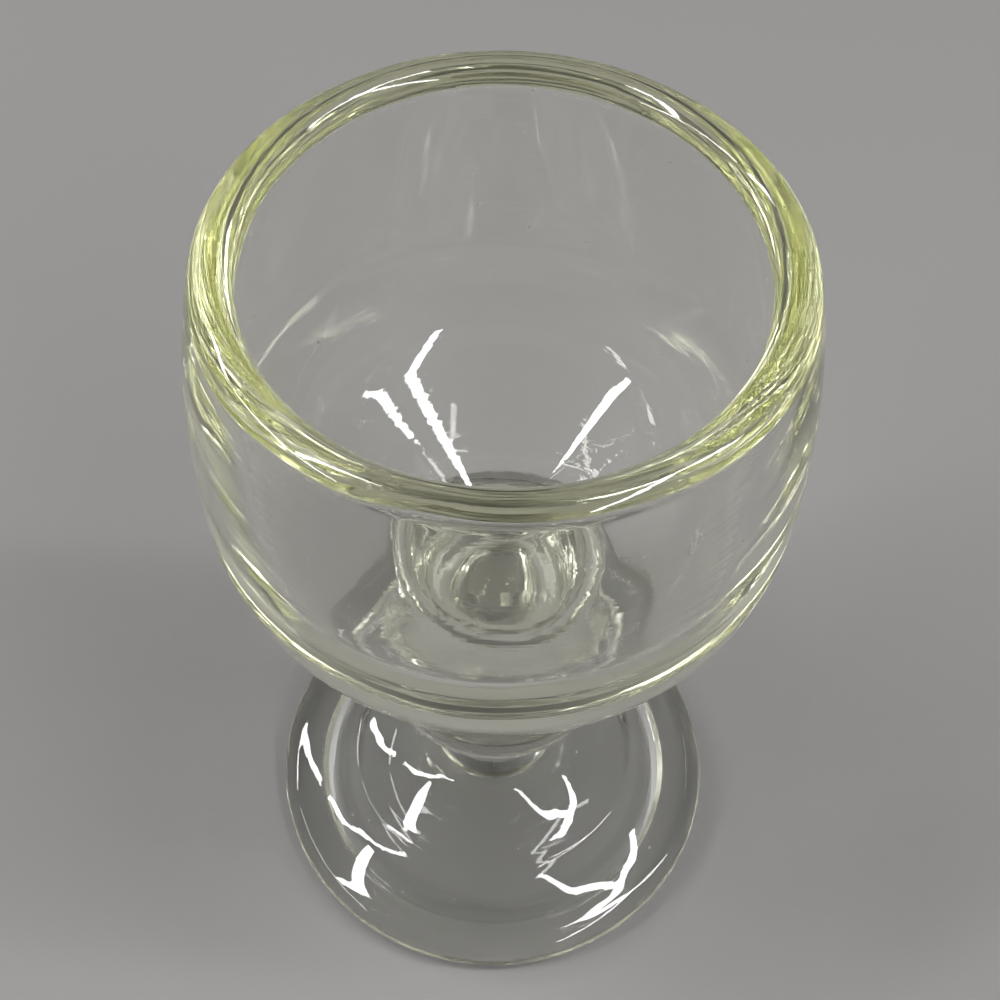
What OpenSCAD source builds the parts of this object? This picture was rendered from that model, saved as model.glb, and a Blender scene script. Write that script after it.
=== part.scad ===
// Footed beer chalice in thick clear glass, millimetres, +Z up, standing on z = 0.
// Three gathers of glass fused hot along two flat seams: bowl, stem and foot.
// Every outline is a half section of tangent arcs turned about the Z axis.

/* [Lip] */
// Height of the glass from the table to the top of the lip
total_height = 160; // [156:0.5:166]
// How far the middle of the lip stands in from the belly
lip_tuck = 6.9; // [5.5:0.1:8.5]
// Radius of the fire-polished bead, half the lip's thickness
lip_bead = 3.3; // [2.8:0.1:3.7]

/* [Bowl outside] */
// Widest radius of the glass, at the belly
belly_radius = 46.3; // [45.5:0.1:48]
// Height over which the side leans in to the lip
lean_height = 32.7; // [28:0.1:36]
// Height of the straight band at the belly
belly_band = 5.6; // [3:0.1:8]
// Radius of the heel that rounds in under the belly
heel_radius = 35; // [33:0.5:37]
// Angle the heel turns through before the flatter underside starts
heel_turn = 42; // [38:1:46]
// Radius of the flatter underside of the bowl
under_radius = 70; // [64:1:78]

/* [Bowl inside] */
// Thickness of the wall at the inside's widest place
belly_wall = 7.05; // [6:0.05:8]
// Drop from the middle of the lip bead to the inside's widest place
well_drop = 33.7; // [32:0.1:35.5]
// Radius of the rounded corner between the side and the floor of the well
corner_radius = 22; // [20:0.5:24]
// Slope of the cone-shaped floor of the well, degrees
floor_slope = 31; // [29:0.5:33]
// Radius of the rounded tip at the bottom of the well
tip_radius = 16; // [13:0.5:19]

/* [Stem] */
// Radius of the seam disc where the stem is fused to the bowl
weld_radius = 24.5; // [23.5:0.1:25.5]
// Radius of the neck under the bowl
neck_radius = 19.5; // [18.5:0.1:20.5]
// Widest radius of the swelling
knop_radius = 22; // [21:0.1:23]
// Depth of the swelling's widest place below the upper seam
knop_drop = 30; // [28:0.5:32]
// Roundness of the swelling
knop_round = 12; // [11:0.5:13]
// Hollow curve that leads from the neck to the swelling
neck_sweep = 20; // [16:1:22]

/* [Foot] */
// Outside radius of the foot
foot_radius = 44.1; // [43:0.1:46]
// Radius of the foot's rounded edge, half its thickness
edge_bead = 3.8; // [3.4:0.1:4.2]
// Slope where the brim runs into the rounded edge, degrees
brim_slope_low = 10; // [6:1:14]
// Slope of the brim just outside the crease, degrees
brim_slope_high = 40; // [36:1:44]
// Radius of the crease ring between the brim and the skirt
crease_radius = 28; // [27:0.1:29.5]
// Rounding of the crease
crease_bead = 2; // [1.2:0.1:2.6]
// Slope of the skirt just inside the crease, degrees
skirt_slope_low = 8; // [5:1:11]
// Slope where the skirt turns up to the stem, degrees
skirt_slope_high = 35; // [30:1:40]
// Radius of the seam disc where the stem is fused to the foot
seat_radius = 11.5; // [10.5:0.1:12.5]
// Hollow fillet between the skirt and the stem
seat_fillet = 7; // [5:0.5:9]
// Radius of the hollow under the foot, inside the ring that it stands on
dish_radius = 35; // [33:0.5:37]
// Height of the hollow at its middle
dish_depth = 12; // [10:0.5:13]
// Slope of the hollow's side where it meets the standing ring, degrees
dish_slope = 55; // [50:1:60]

/* [Hidden] */
$fn = 180;
clear_glass = [0.80, 0.82, 0.72, 0.45];
// Depth by which neighbouring arcs run into each other, so that they melt into one skin
melt = 0.005;

// Bowl outside: the side arc starts upright at the belly and touches the lip bead.
lip_z = total_height - lip_bead;
lip_radius = belly_radius - lip_tuck;
belly_top = lip_z - lean_height;
belly_low = belly_top - belly_band;
lip_touch = lip_bead - melt;
lip_inset = lip_tuck + melt;
side_radius = (pow(lip_inset, 2) + pow(lean_height, 2) - pow(lip_touch, 2)) / (2 * (lip_inset - lip_touch));
side_c = [belly_radius - side_radius + melt, belly_top];
side_end = lip_z + lip_bead * lean_height / (side_radius - lip_bead);
heel_c = [belly_radius - heel_radius + melt, belly_low];
heel_dir = [cos(heel_turn), -sin(heel_turn)];
heel_end = heel_c + heel_radius * heel_dir;
under_c = heel_end - (under_radius + melt) * heel_dir;

// Bowl inside: a rounded tip, a conical floor, a corner, and a side arc that touches the lip bead from within.
well_radius = belly_radius - belly_wall;
well_z = lip_z - well_drop;
well_gap = lip_radius - well_radius;
inner_radius = (pow(well_drop, 2) + pow(well_gap, 2) - pow(lip_touch, 2)) / (2 * (lip_touch - well_gap));
inner_c = [well_radius - inner_radius, well_z];
inner_end = lip_z - lip_bead * well_drop / (inner_radius + lip_bead);
corner_c = [well_radius - corner_radius, well_z];
floor_out = [sin(floor_slope), -cos(floor_slope)];
floor_top = corner_c + (corner_radius - melt) * floor_out;
tip_r = tip_radius * sin(floor_slope);
tip_z = floor_top[1] - (floor_top[0] - tip_r) * tan(floor_slope);
floor_low = [tip_r, tip_z];
tip_c = floor_low - (tip_radius - melt) * floor_out;

// Upper seam: where the underside has come in to the weld radius.
weld_sin = (weld_radius - under_c[0]) / under_radius;
weld_z = under_c[1] - under_radius * sqrt(1 - pow(weld_sin, 2));
neck_fillet = (weld_radius - neck_radius) / (1 - weld_sin);
neck_c = [weld_radius + neck_fillet * weld_sin - melt, weld_z - neck_fillet * sqrt(1 - pow(weld_sin, 2))];

// Foot: slopes t give points that lie on circles at centre -/+ radius * [sin t, cos t].
function lean(t) = [sin(t), cos(t)];
edge_c = [foot_radius - edge_bead, edge_bead];
brim_end = edge_c + edge_bead * lean(brim_slope_low);
crease_c = [crease_radius - crease_bead * sin(skirt_slope_low), 0];
brim_r = crease_c[0] + crease_bead * sin(brim_slope_high);
brim_radius = (brim_end[0] - brim_r) / (sin(brim_slope_high) - sin(brim_slope_low));
brim_c = brim_end + (brim_radius - melt) * lean(brim_slope_low);
brim_top = brim_c - (brim_radius - melt) * lean(brim_slope_high);
crease_z = brim_top[1] - crease_bead * cos(brim_slope_high);
skirt_low = [crease_radius, crease_z + crease_bead * cos(skirt_slope_low)];
skirt_r = seat_radius + seat_fillet * (1 - sin(skirt_slope_high));
skirt_radius = (crease_radius - skirt_r) / (sin(skirt_slope_high) - sin(skirt_slope_low));
skirt_c = skirt_low + (skirt_radius - melt) * lean(skirt_slope_low);
skirt_top = skirt_c[1] - skirt_radius * cos(skirt_slope_high);
seat_z = skirt_top + (seat_fillet - melt) * cos(skirt_slope_high);
seat_c = [seat_radius + seat_fillet - melt, seat_z];
dish_round = dish_depth / (1 - cos(dish_slope));
dish_flat = dish_radius - dish_round * sin(dish_slope);
dish_c = [dish_flat, dish_depth - dish_round + melt];

// Stem: hollow arcs above and below that touch the round of the swelling.
knop_z = weld_z - knop_drop;
knop_c = [knop_radius - knop_round, knop_z];
neck_in = neck_radius - knop_c[0];
sweep_rise = sqrt(pow(knop_round + neck_sweep, 2) - pow(neck_in + neck_sweep, 2));
sweep_c = [neck_radius + neck_sweep - melt, knop_z + sweep_rise];
knop_top = knop_c + knop_round * [neck_in + neck_sweep, sweep_rise] / (knop_round + neck_sweep);
taper_in = seat_radius - knop_c[0];
taper_drop = knop_z - seat_z;
taper_radius = (pow(taper_in, 2) + pow(taper_drop, 2) - pow(knop_round, 2)) / (2 * (knop_round - taper_in));
taper_c = [seat_radius + taper_radius - melt, seat_z];
knop_low = knop_c + knop_round * [taper_in + taper_radius, -taper_drop] / (knop_round + taper_radius);

// Half-section rectangle from the axis out to r, between two heights.
module slab(r, z0, z1) {
  translate([0, z0]) square([r, z1 - z0]);
}

// Disc of the half section, centred anywhere.
module disc(c, r) {
  translate(c) circle(r = r);
}

// Disc kept between two heights and outside the axis.
module band(c, r, z0, z1) {
  intersection() {
    disc(c, r);
    slab(3 * belly_radius, z0, z1);
  }
}

module bowl_outline() {
  band(side_c, side_radius, belly_top - 3, side_end);
  slab(belly_radius, belly_low, belly_top);
  band(heel_c, heel_radius, weld_z, belly_low + 1);
  band(under_c, under_radius, weld_z, heel_end[1]);
}

module bowl_well() {
  disc([0, tip_c[1]], tip_radius);
  polygon([[0, tip_z], floor_low, floor_top, [0, floor_top[1]]]);
  slab(corner_c[0], well_z - corner_radius, total_height);
  disc(corner_c, corner_radius);
  band(inner_c, inner_radius, well_z, total_height);
  slab(lip_radius, inner_end, total_height);
}

// Thick bowl with a conical, round-cornered well and a beaded lip.
module bowl() {
  color(clear_glass) rotate_extrude() {
    difference() {
      bowl_outline();
      bowl_well();
    }
    disc([lip_radius, lip_z], lip_bead);
  }
}

// Short heavy stem that spreads under the bowl, swells and tapers to the foot.
module stem() {
  color(clear_glass) rotate_extrude() {
    slab(neck_radius, knop_z, weld_z);
    slab(knop_c[0], knop_low[1], knop_z);
    difference() {
      slab(weld_radius, neck_c[1], weld_z);
      disc(neck_c, neck_fillet);
    }
    difference() {
      slab(knop_top[0], knop_top[1], sweep_c[1]);
      disc(sweep_c, neck_sweep);
    }
    band(knop_c, knop_round, seat_z, weld_z);
    difference() {
      slab(knop_low[0], seat_z, knop_low[1]);
      disc(taper_c, taper_radius);
    }
  }
}

// Round foot: rounded edge, hollow brim, crease ring, skirt, and a hollow below with a flat crown.
module foot() {
  color(clear_glass) rotate_extrude() difference() {
    union() {
      slab(edge_c[0], 0, edge_bead);
      disc(edge_c, edge_bead);
      difference() {
        slab(brim_end[0], edge_bead, brim_top[1]);
        disc(brim_c, brim_radius);
      }
      disc([crease_c[0], crease_z], crease_bead);
      difference() {
        slab(crease_radius, edge_bead, seat_z);
        disc(skirt_c, skirt_radius);
      }
      difference() {
        slab(skirt_r, edge_bead, seat_z);
        disc(seat_c, seat_fillet);
      }
    }
    slab(dish_flat, -1, dish_depth);
    disc(dish_c, dish_round);
  }
}

bowl();
stem();
foot();
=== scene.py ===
import math

import bpy
import numpy as np
from mathutils import Matrix, Vector


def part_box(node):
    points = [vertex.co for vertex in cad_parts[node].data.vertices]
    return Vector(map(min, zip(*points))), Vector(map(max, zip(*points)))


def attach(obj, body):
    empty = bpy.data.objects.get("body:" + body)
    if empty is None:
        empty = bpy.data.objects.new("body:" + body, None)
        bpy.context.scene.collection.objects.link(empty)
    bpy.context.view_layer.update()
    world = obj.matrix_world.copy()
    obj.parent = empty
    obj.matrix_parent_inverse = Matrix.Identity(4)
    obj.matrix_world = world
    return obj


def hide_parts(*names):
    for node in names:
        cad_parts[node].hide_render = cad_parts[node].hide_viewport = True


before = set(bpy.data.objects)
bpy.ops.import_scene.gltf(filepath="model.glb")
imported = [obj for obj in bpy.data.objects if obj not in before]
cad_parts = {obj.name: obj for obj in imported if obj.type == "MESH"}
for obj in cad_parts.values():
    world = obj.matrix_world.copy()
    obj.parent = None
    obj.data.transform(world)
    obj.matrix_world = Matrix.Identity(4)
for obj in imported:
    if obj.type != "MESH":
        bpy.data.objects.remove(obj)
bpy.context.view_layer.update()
scene = bpy.context.scene

# The bowl is a thick round gather of soda-lime glass, worked hot and fire-polished at the lip.
# Outside it leans in from the belly to the beaded lip and rounds in below to the seam with the stem.
# Inside it is a conical well, and the glass shows its yellow-green tint only where light runs far in it.
MM = 0.001
lip_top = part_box("bowl")[1].z
seam_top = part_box("bowl")[0].z
belly_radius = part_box("bowl")[1].x
lip_bead = 3.3 * MM
lip_tuck = 6.9 * MM
lean_height = 32.7 * MM
belly_band = 5.6 * MM
heel_radius = 35 * MM
heel_turn = 42
under_radius = 70 * MM
weld_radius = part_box("stem")[1].x
belly_wall = 7.05 * MM
well_drop = 33.7 * MM
corner_radius = 22 * MM
floor_slope = 31
tip_radius = 16 * MM
SKIN_STEP = 0.62 * MM
TURNS = 240
EASE_POINTS = 17
POLE_CALM = 16 * MM
WAVE_COUNT = 16
SEAM_GAP = 0.02 * MM
SEAM_POINTS = {"first": slice(0, 2), "last": slice(-2, None)}


def arc(centre, radius, start, end):
    """Points on a circle of the half section, from angle start to end in degrees, a skin step apart."""
    count = max(5, int(abs(math.radians(end - start)) * radius / SKIN_STEP) + 1)
    a = np.radians(np.linspace(start, end, count))
    return np.stack([centre[0] + radius * np.cos(a), centre[1] + radius * np.sin(a)], 1)


def line(start, end):
    """Points on a straight stretch of the half section, a skin step apart."""
    count = max(2, int(math.hypot(end[0] - start[0], end[1] - start[1]) / SKIN_STEP) + 1)
    return np.linspace(start, end, count)


def direction(start, end):
    """Angle in degrees of the way from one point of the half section to another."""
    return math.degrees(math.atan2(end[1] - start[1], end[0] - start[0]))


def hand_waves(along, angle, seed, orders, length):
    """Unevenness of hot-worked glass with a mean square of 1: sqrt(2 / N) times the sum of N waves.

    Each wave is cos(m a + k s + p): m, round the glass, lies in orders, and k, along it,
    is at most 2 pi / length.
    """
    draw = np.random.default_rng(seed)
    m = draw.integers(orders[0], orders[1] + 1, WAVE_COUNT)
    k = draw.uniform(-1, 1, WAVE_COUNT) * 2 * np.pi / length
    p = draw.uniform(0, 2 * np.pi, WAVE_COUNT)
    waves = np.cos(m * angle[None, :, None] + k * along[:, None, None] + p)
    return math.sqrt(2 / WAVE_COUNT) * waves.sum(-1)


def turned(name, runs, caps, waves):
    """A closed skin of glass turned about Z, with the unevenness of hot work.

    runs is the half section from pole to pole, as (points, depth, streaks). Point i, j is p + d w n,
    turned by a = 2 pi j / TURNS: n is the section's normal, w is hand_waves, and d is the depth, eased
    from run to run and to nothing at the poles. The attribute "skin" holds (cos a, sin a, s), s being
    the length along the section, and "streaks" how far a run shows tool marks. caps names the ends,
    first or last, that are fused seams: their faces get 1 in the attribute "fused", and their rim is
    a sharp edge. waves holds the last three values that hand_waves takes.
    """
    profile = np.concatenate([np.array(runs[0][0])] + [np.array(run[0])[1:] for run in runs[1:]])
    parts = [len(run[0]) - (i > 0) for i, run in enumerate(runs)]
    ease = np.hanning(EASE_POINTS) / np.hanning(EASE_POINTS).sum()
    depth = np.convolve(np.repeat([run[1] for run in runs], parts), ease, "same")
    depth *= np.minimum(1, profile[:, 0] / POLE_CALM)**2
    streaks = np.convolve(np.repeat([run[2] for run in runs], parts), ease, "same")
    steps = np.diff(profile, axis=0)
    along = np.concatenate([[0], np.cumsum(np.hypot(steps[:, 0], steps[:, 1]))])
    tangent = np.gradient(profile, axis=0)
    normal = np.stack([-tangent[:, 1], tangent[:, 0]], 1)
    normal /= np.hypot(tangent[:, 0], tangent[:, 1])[:, None]
    for end in caps:
        depth[SEAM_POINTS[end]] = 0
    a = 2 * np.pi * np.arange(TURNS) / TURNS
    lift = depth[:, None] * hand_waves(along, a, *waves)
    r = profile[:, :1] + lift * normal[:, :1]
    z = profile[:, 1:] + lift * normal[:, 1:]
    grid = np.stack([r * np.cos(a), r * np.sin(a), z], -1)[1:-1]
    skin = np.stack([np.cos(a) + 0 * r, np.sin(a) + 0 * r, along[:, None] + 0 * r], -1)[1:-1]
    rings = len(grid)
    verts = np.concatenate([grid.reshape(-1, 3), [(0, 0, profile[0, 1]), (0, 0, profile[-1, 1])]])
    number = np.arange(rings * TURNS).reshape(rings, TURNS)
    after = np.roll(number, -1, 1)
    quads = np.stack([number[:-1], number[1:], after[1:], after[:-1]], -1).reshape(-1, 4)
    first = np.stack([np.full(TURNS, len(verts) - 2), number[0], after[0]], -1)
    last = np.stack([np.full(TURNS, len(verts) - 1), after[-1], number[-1]], -1)
    mesh = bpy.data.meshes.new(name)
    mesh.from_pydata(verts.tolist(), [], quads.tolist() + first.tolist() + last.tolist())
    mesh.update()
    mesh.polygons.foreach_set("use_smooth", np.ones(len(mesh.polygons), bool))
    fused = np.zeros(len(mesh.polygons), np.float32)
    sharp = np.zeros(len(mesh.edges), bool)
    ends = np.zeros(len(mesh.edges) * 2, np.int32)
    mesh.edges.foreach_get("vertices", ends)
    ring_of = ends.reshape(-1, 2) // TURNS
    for end in caps:
        start = len(quads) + (0 if end == "first" else TURNS)
        fused[start:start + TURNS] = 1
        sharp |= (ring_of == (0 if end == "first" else rings - 1)).all(1)
    mesh.attributes.new("fused", "FLOAT", "FACE").data.foreach_set("value", fused)
    mesh.attributes.new("sharp_edge", "BOOLEAN", "EDGE").data.foreach_set("value", sharp)
    places = np.concatenate([skin.reshape(-1, 3), [(0, 0, along[0]), (0, 0, along[-1])]])
    places = places.ravel().astype(np.float32)
    mesh.attributes.new("skin", "FLOAT_VECTOR", "POINT").data.foreach_set("vector", places)
    marks = np.concatenate([np.repeat(streaks[1:-1], TURNS), [streaks[0], streaks[-1]]])
    marks = marks.astype(np.float32)
    mesh.attributes.new("streaks", "FLOAT", "POINT").data.foreach_set("value", marks)
    piece = bpy.data.objects.new(name, mesh)
    scene.collection.objects.link(piece)
    return piece


lip_c = (belly_radius - lip_tuck, lip_top - lip_bead)
side_radius = (lip_tuck**2 + lean_height**2 - lip_bead**2) / (2 * (lip_tuck - lip_bead))
side_c = (belly_radius - side_radius, lip_c[1] - lean_height)
heel_c = (belly_radius - heel_radius, side_c[1] - belly_band)
heel_way = np.array([math.cos(math.radians(heel_turn)), -math.sin(math.radians(heel_turn))])
under_c = np.array(heel_c) + (heel_radius - under_radius) * heel_way
weld_turn = -math.degrees(math.acos((weld_radius - under_c[0]) / under_radius))
well_radius = belly_radius - belly_wall
well_z = lip_c[1] - well_drop
well_gap = lip_c[0] - well_radius
inner_radius = (well_drop**2 + well_gap**2 - lip_bead**2) / (2 * (lip_bead - well_gap))
inner_c = (well_radius - inner_radius, well_z)
corner_c = (well_radius - corner_radius, well_z)
floor_out = np.array([math.sin(math.radians(floor_slope)), -math.cos(math.radians(floor_slope))])
floor_top = np.array(corner_c) + corner_radius * floor_out
tip_r = tip_radius * floor_out[0]
floor_low = (tip_r, floor_top[1] - (floor_top[0] - tip_r) * math.tan(math.radians(floor_slope)))
tip_c = (0.0, floor_low[1] - tip_radius * floor_out[1])
inner_turn = direction(inner_c, lip_c)
outer_turn = direction(side_c, lip_c)
bowl = turned("bowl_glass", [
    (arc(tip_c, tip_radius, -90, floor_slope - 90), 0.01 * MM, 0.8),
    (line(floor_low, floor_top), 0.03 * MM, 0.8),
    (arc(corner_c, corner_radius, floor_slope - 90, 0), 0.05 * MM, 0.5),
    (arc(inner_c, inner_radius, 0, inner_turn), 0.07 * MM, 0.3),
    (arc(lip_c, lip_bead, inner_turn + 180, outer_turn), 0.0, 1.6),
    (arc(side_c, side_radius, outer_turn, 0), 0.015 * MM, 0.2),
    (line((belly_radius, side_c[1]), (belly_radius, heel_c[1])), 0.015 * MM, 0.2),
    (arc(heel_c, heel_radius, 0, -heel_turn), 0.015 * MM, 0.3),
    (arc(under_c, under_radius, -heel_turn, weld_turn), 0.01 * MM, 0.6),
    ([(weld_radius, seam_top), (0, seam_top)], 0.0, 0.4),
], ["last"], (3, (2, 14), 36 * MM))


class Value:
    """A shader socket that takes part in Python arithmetic: each operation adds one Math node."""

    def __init__(self, tree, socket=None):
        self.tree = tree
        self.socket = socket

    def node(self, kind, settings=None, **sockets):
        """Adds a node of a type, sets its settings first, then its sockets by name or number."""
        made = self.tree.nodes.new(kind)
        for key, value in (settings or {}).items():
            setattr(made, key, value)
        for key, value in sockets.items():
            socket = made.inputs[int(key[1:]) if key[1:].isdigit() else key.replace("_", " ")]
            if isinstance(value, Value):
                self.tree.links.new(value.socket, socket)
            else:
                socket.default_value = value
        return made

    def out(self, made, name):
        """A node's output as a value."""
        return Value(self.tree, made.outputs[name])

    def maths(self, operation, a, b=0.0):
        """One Math node on two values."""
        made = self.node("ShaderNodeMath", {"operation": operation}, _0=a, _1=b)
        return Value(self.tree, made.outputs[0])

    def __add__(self, other):
        return self.maths("ADD", self, other)

    __radd__ = __add__

    def __mul__(self, other):
        return self.maths("MULTIPLY", self, other)

    __rmul__ = __mul__

    def __sub__(self, other):
        return self.maths("SUBTRACT", self, other)

    def __rsub__(self, other):
        return self.maths("SUBTRACT", other, self)

    def __lt__(self, other):
        return self.maths("LESS_THAN", self, other)

    def kept(self, low, high):
        """The value held between two bounds."""
        return self.maths("MINIMUM", self.maths("MAXIMUM", self, low), high)


GLASS_IOR = 1.52
GLASS_TINT = (0.87, 0.88, 0.65, 1)
TINT_DENSITY = 9.0
MARK_GRAIN = (1.2, 1.2, 800)
MARK_DEPTH = 0.03 * MM
SMUDGE_SCALE = 55.0
SMUDGE_START = 0.52
SMUDGE_LIMIT = 0.3
SPECK_SCALE = 130.0
SPECK_SIZE = 0.035
POLISH = 0.01
SMUDGE_ROUGHNESS = 0.12
SPECK_ROUGHNESS = 0.35


def chalice_glass():
    """Clear glass with a tint in its depth, tool marks, wiped smudges and a few specks.

    The faces of a fused seam are open, so light passes them unbent.
    """
    made = bpy.data.materials.new("chalice_glass")
    made.use_nodes = True
    tree = made.node_tree
    shader = tree.nodes["Principled BSDF"]
    shader.inputs["Base Color"].default_value = (1, 1, 1, 1)
    shader.inputs["IOR"].default_value = GLASS_IOR
    shader.inputs["Transmission Weight"].default_value = 1.0
    v = Value(tree)
    fused = v.out(v.node("ShaderNodeAttribute", {"attribute_name": "fused"}), "Fac")
    tree.links.new((1 - fused).socket, shader.inputs["Alpha"])
    skin = v.out(v.node("ShaderNodeAttribute", {"attribute_name": "skin"}), "Vector")
    streaks = v.out(v.node("ShaderNodeAttribute", {"attribute_name": "streaks"}), "Fac")
    place = v.out(v.node("ShaderNodeTexCoord"), "Object")
    drawn = v.out(v.node("ShaderNodeMapping", Vector=skin, Scale=MARK_GRAIN), "Vector")
    marks = v.out(v.node("ShaderNodeTexNoise", Vector=drawn, Scale=1.0, Detail=2.0), "Fac")
    bump = v.node("ShaderNodeBump", Height=marks * streaks, Strength=1.0, Distance=MARK_DEPTH)
    tree.links.new(bump.outputs[0], shader.inputs["Normal"])
    smudge = v.out(v.node("ShaderNodeTexNoise", Vector=place, Scale=SMUDGE_SCALE, Detail=3.0), "Fac")
    wiped = (smudge - SMUDGE_START).kept(0.0, SMUDGE_LIMIT)
    speck = v.out(v.node("ShaderNodeTexVoronoi", Vector=place, Scale=SPECK_SCALE), "Distance") < SPECK_SIZE
    rough = POLISH + SMUDGE_ROUGHNESS * wiped + SPECK_ROUGHNESS * speck
    tree.links.new(rough.socket, shader.inputs["Roughness"])
    depth = v.node("ShaderNodeVolumeAbsorption", Color=GLASS_TINT, Density=TINT_DENSITY)
    tree.links.new(depth.outputs[0], tree.nodes["Material Output"].inputs["Volume"])
    return made


glass = chalice_glass()
bowl.data.materials.append(glass)
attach(bowl, "root")
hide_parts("bowl")

# The stem is a short solid gather that is fused to the bowl while both are soft.
# It spreads to the seam, draws in to a neck, swells into a knop and tapers to the foot.
seat_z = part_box("stem")[0].z
neck_radius = 19.5 * MM
knop_radius = 22 * MM
knop_drop = 30 * MM
knop_round = 12 * MM
neck_sweep = 20 * MM
seat_radius = 11.5 * MM
stem_waves = 0.012 * MM
weld_sin = (weld_radius - under_c[0]) / under_radius
neck_fillet = (weld_radius - neck_radius) / (1 - weld_sin)
neck_c = (weld_radius + neck_fillet * weld_sin, seam_top - neck_fillet * math.sqrt(1 - weld_sin**2))
knop_c = (knop_radius - knop_round, seam_top - knop_drop)
sweep_in = neck_radius + neck_sweep - knop_c[0]
sweep_c = (neck_radius + neck_sweep, knop_c[1] + math.sqrt((knop_round + neck_sweep)**2 - sweep_in**2))
taper_in = seat_radius - knop_c[0]
taper_drop = knop_c[1] - seat_z
taper_radius = (taper_in**2 + taper_drop**2 - knop_round**2) / (2 * (knop_round - taper_in))
taper_c = (seat_radius + taper_radius, seat_z)
knop_up = direction(knop_c, sweep_c)
knop_down = direction(knop_c, taper_c)
stem_top = seam_top - SEAM_GAP
stem = turned("stem_glass", [
    ([(0, stem_top), (weld_radius, stem_top)], 0.0, 0.4),
    (arc(neck_c, neck_fillet, direction(neck_c, (weld_radius, seam_top)), 180), stem_waves, 1.0),
    (line((neck_radius, neck_c[1]), (neck_radius, sweep_c[1])), stem_waves, 1.0),
    (arc(sweep_c, neck_sweep, 180, 180 + knop_up), stem_waves, 1.0),
    (arc(knop_c, knop_round, knop_up, knop_down), stem_waves, 1.0),
    (arc(taper_c, taper_radius, 180 + knop_down, 180), stem_waves, 1.0),
    ([(seat_radius, seat_z), (0, seat_z)], 0.0, 0.4),
], ["first", "last"], (5, (0, 3), 3 * MM))
stem.data.materials.append(glass)
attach(stem, "root")
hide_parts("stem")

# The foot is a third gather, pressed and spun out into a rounded edge, a hollow brim, a crease ring
# and a skirt. It is hollow below, stands on a flat ring, and its fillet runs up into the stem.
foot_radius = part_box("foot")[1].x
edge_bead = 3.8 * MM
brim_slopes = (10, 40)
crease_radius = 28 * MM
crease_bead = 2 * MM
skirt_slopes = (8, 35)
seat_fillet = 7 * MM
dish_radius = 35 * MM
dish_depth = 12 * MM
dish_slope = 55
foot_waves = 0.012 * MM


def lean(slope):
    """Unit vector across a surface of that slope in degrees, outwards and up."""
    return np.array([math.sin(math.radians(slope)), math.cos(math.radians(slope))])


edge_c = np.array([foot_radius - edge_bead, edge_bead])
brim_end = edge_c + edge_bead * lean(brim_slopes[0])
crease_r = crease_radius - crease_bead * lean(skirt_slopes[0])[0]
brim_r = crease_r + crease_bead * lean(brim_slopes[1])[0]
brim_radius = (brim_end[0] - brim_r) / (lean(brim_slopes[1])[0] - lean(brim_slopes[0])[0])
brim_c = brim_end + brim_radius * lean(brim_slopes[0])
brim_top = brim_c - brim_radius * lean(brim_slopes[1])
crease_c = np.array([crease_r, brim_top[1] - crease_bead * lean(brim_slopes[1])[1]])
skirt_low = crease_c + crease_bead * lean(skirt_slopes[0])
skirt_r = seat_radius + seat_fillet * (1 - lean(skirt_slopes[1])[0])
skirt_radius = (crease_radius - skirt_r) / (lean(skirt_slopes[1])[0] - lean(skirt_slopes[0])[0])
skirt_c = skirt_low + skirt_radius * lean(skirt_slopes[0])
seat_c = np.array([seat_radius + seat_fillet, seat_z])
dish_round = dish_depth / (1 - lean(dish_slope)[1])
dish_c = (dish_radius - dish_round * lean(dish_slope)[0], dish_depth - dish_round)
foot_top = seat_z - SEAM_GAP
foot = turned("foot_glass", [
    ([(0, foot_top), (seat_radius, foot_top)], 0.0, 0.4),
    (arc(seat_c, seat_fillet, 180, 270 - skirt_slopes[1]), foot_waves, 0.6),
    (arc(skirt_c, skirt_radius, 270 - skirt_slopes[1], 270 - skirt_slopes[0]), foot_waves, 0.5),
    (arc(crease_c, crease_bead, 90 - skirt_slopes[0], 90 - brim_slopes[1]), foot_waves, 0.5),
    (arc(brim_c, brim_radius, 270 - brim_slopes[1], 270 - brim_slopes[0]), foot_waves, 0.5),
    (arc(edge_c, edge_bead, 90 - brim_slopes[0], -90), 0.0, 0.4),
    (line((edge_c[0], 0), (dish_radius, 0)), 0.0, 0.2),
    (arc(dish_c, dish_round, 90 - dish_slope, 90), 0.0, 0.2),
    (line((dish_c[0], dish_depth), (0, dish_depth)), 0.0, 0.2),
], ["first"], (8, (3, 26), 10 * MM))
foot.data.materials.append(glass)
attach(foot, "root")
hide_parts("foot")

# The table is a plain grey sheet of paper that carries on past the view.
# It lies a hair below the standing ring, so that the glass and the paper share no face.
TABLE_REACH = 3.0
TABLE_DROP = 0.2 * MM
TABLE_GREY = (0.25, 0.243, 0.238, 1)
table_mesh = bpy.data.meshes.new("table")
corners = TABLE_REACH * np.array([(-1, -1), (1, -1), (1, 1), (-1, 1)])
table_mesh.from_pydata([(x, y, -TABLE_DROP) for x, y in corners], [], [(0, 1, 2, 3)])
table = bpy.data.objects.new("table", table_mesh)
scene.collection.objects.link(table)
table_paper = bpy.data.materials.new("table_paper")
table_paper.use_nodes = True
table_shader = table_paper.node_tree.nodes["Principled BSDF"]
table_shader.inputs["Base Color"].default_value = TABLE_GREY
table_shader.inputs["Roughness"].default_value = 0.8
table_mesh.materials.append(table_paper)

# Strip lamps hang overhead, left and right of the glass, in two groups that meet at an angle.
# The room is dim in front and behind, and its pale walls left and right light the edges of the glass.
LAMP_AIM = Vector((0, 0, 0.05))
LAMP_HEIGHT = 2.0
LAMP_WIDTH = 0.14
LAMP_RADIANCE = 25


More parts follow.
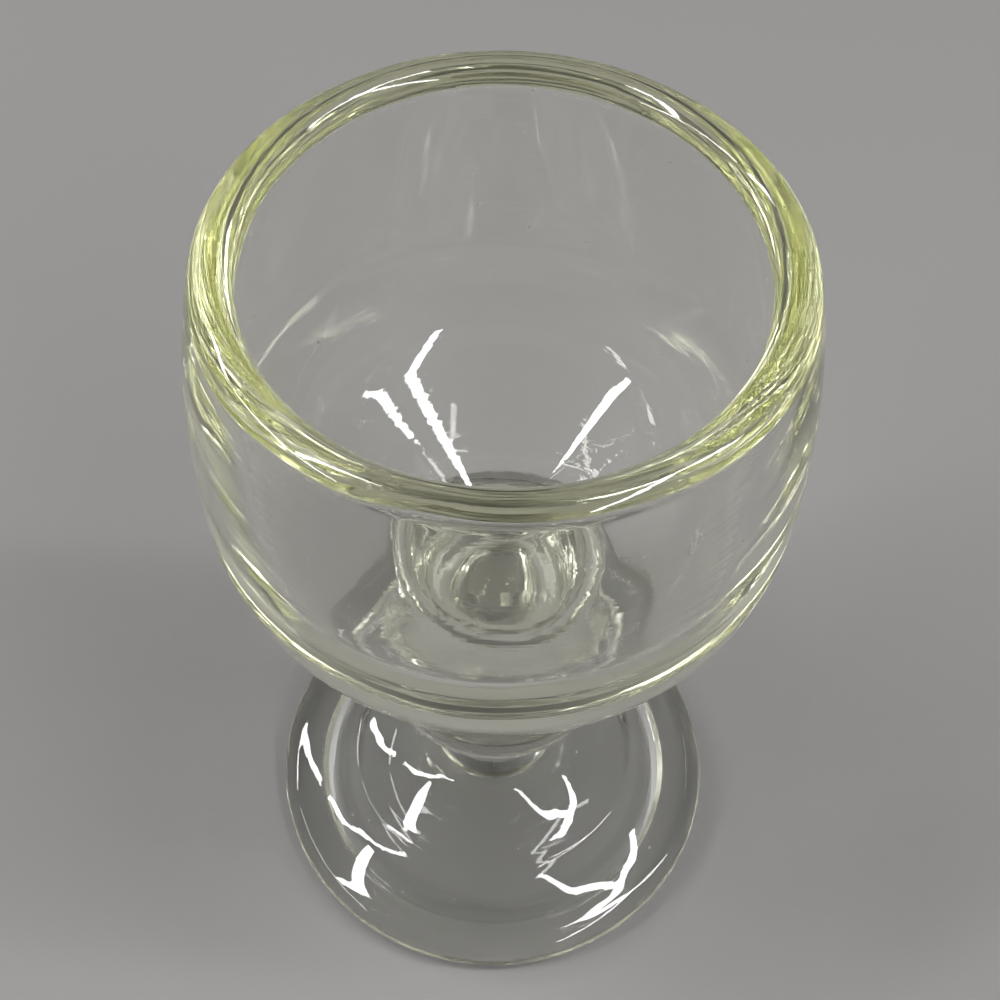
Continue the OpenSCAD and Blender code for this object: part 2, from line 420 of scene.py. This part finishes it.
def strip_lamp(name, start, end):
    """A strip lamp from start to end, at the lamps' height, that faces the glass."""
    start, end = Vector((*start, LAMP_HEIGHT)), Vector((*end, LAMP_HEIGHT))
    middle = (start + end) / 2
    lamp = bpy.data.lights.new(name, "AREA")
    lamp.shape = "RECTANGLE"
    lamp.size = (end - start).length
    lamp.size_y = LAMP_WIDTH
    lamp.energy = LAMP_RADIANCE * math.pi * lamp.size * lamp.size_y
    made = bpy.data.objects.new(name, lamp)
    scene.collection.objects.link(made)
    x = (end - start).normalized()
    z = (middle - LAMP_AIM) - (middle - LAMP_AIM).dot(x) * x
    z.normalize()
    turn = Matrix((x, z.cross(x), z)).transposed().to_4x4()
    turn.translation = middle
    made.matrix_world = turn


strip_lamp("right_lamp", (0.36, 0), (2.38, 0))
strip_lamp("right_front_lamp", (0.98, 0), (1.5, -2.4))
strip_lamp("left_lamp", (-2.2, 0.4), (-2.4, -2.1))
strip_lamp("left_inner_lamp", (-1.96, -0.76), (-0.54, 0.16))
strip_lamp("left_back_lamp", (-2.06, 0.68), (-1.22, 1.22))
ROOM_GLOW = 0.08
SIDE_GLOW = 0.5
world = bpy.data.worlds.new("room")
scene.world = world
world.use_nodes = True
sky = Value(world.node_tree)
way = sky.out(sky.node("ShaderNodeTexCoord"), "Generated")
side = sky.out(sky.node("ShaderNodeSeparateXYZ", Vector=way), "X")
backdrop = world.node_tree.nodes["Background"]
backdrop.inputs["Color"].default_value = (1, 1, 1, 1)
world.node_tree.links.new((ROOM_GLOW + SIDE_GLOW * side * side).socket, backdrop.inputs["Strength"])

# The camera stands in front and looks steeply down into the bowl.
# Light may bounce many times, because it runs a long way round in the thick lip.
FRAME_PIXELS = 1000
FOCAL_PIXELS = 1593.04
SENSOR_MM = 36
LIGHT_BOUNCES = 64
camera_place = np.array([8.235, -145.841, 316.093]) * MM
yaw, pitch, roll = np.radians([-3.2042, 55.6637, 1.44827])
ahead = np.array([np.sin(yaw) * np.cos(pitch), np.cos(yaw) * np.cos(pitch), -np.sin(pitch)])
level = np.array([np.cos(yaw), -np.sin(yaw), 0])
across = level * np.cos(roll) + np.cross(level, ahead) * np.sin(roll)
upward = np.cross(across, ahead)
camera_data = bpy.data.cameras.new("camera")
camera_data.sensor_width = SENSOR_MM
camera_data.lens = FOCAL_PIXELS / FRAME_PIXELS * SENSOR_MM
camera_data.clip_start = 0.01
camera = bpy.data.objects.new("camera", camera_data)
scene.collection.objects.link(camera)
turn = np.eye(4)
turn[:3] = np.stack([across, upward, -ahead, camera_place], 1)
camera.matrix_world = Matrix(turn.tolist())
scene.camera = camera
scene.view_settings.view_transform = "Standard"
scene.cycles.max_bounces = LIGHT_BOUNCES
scene.cycles.transmission_bounces = LIGHT_BOUNCES
scene.cycles.glossy_bounces = LIGHT_BOUNCES
scene.cycles.transparent_max_bounces = LIGHT_BOUNCES
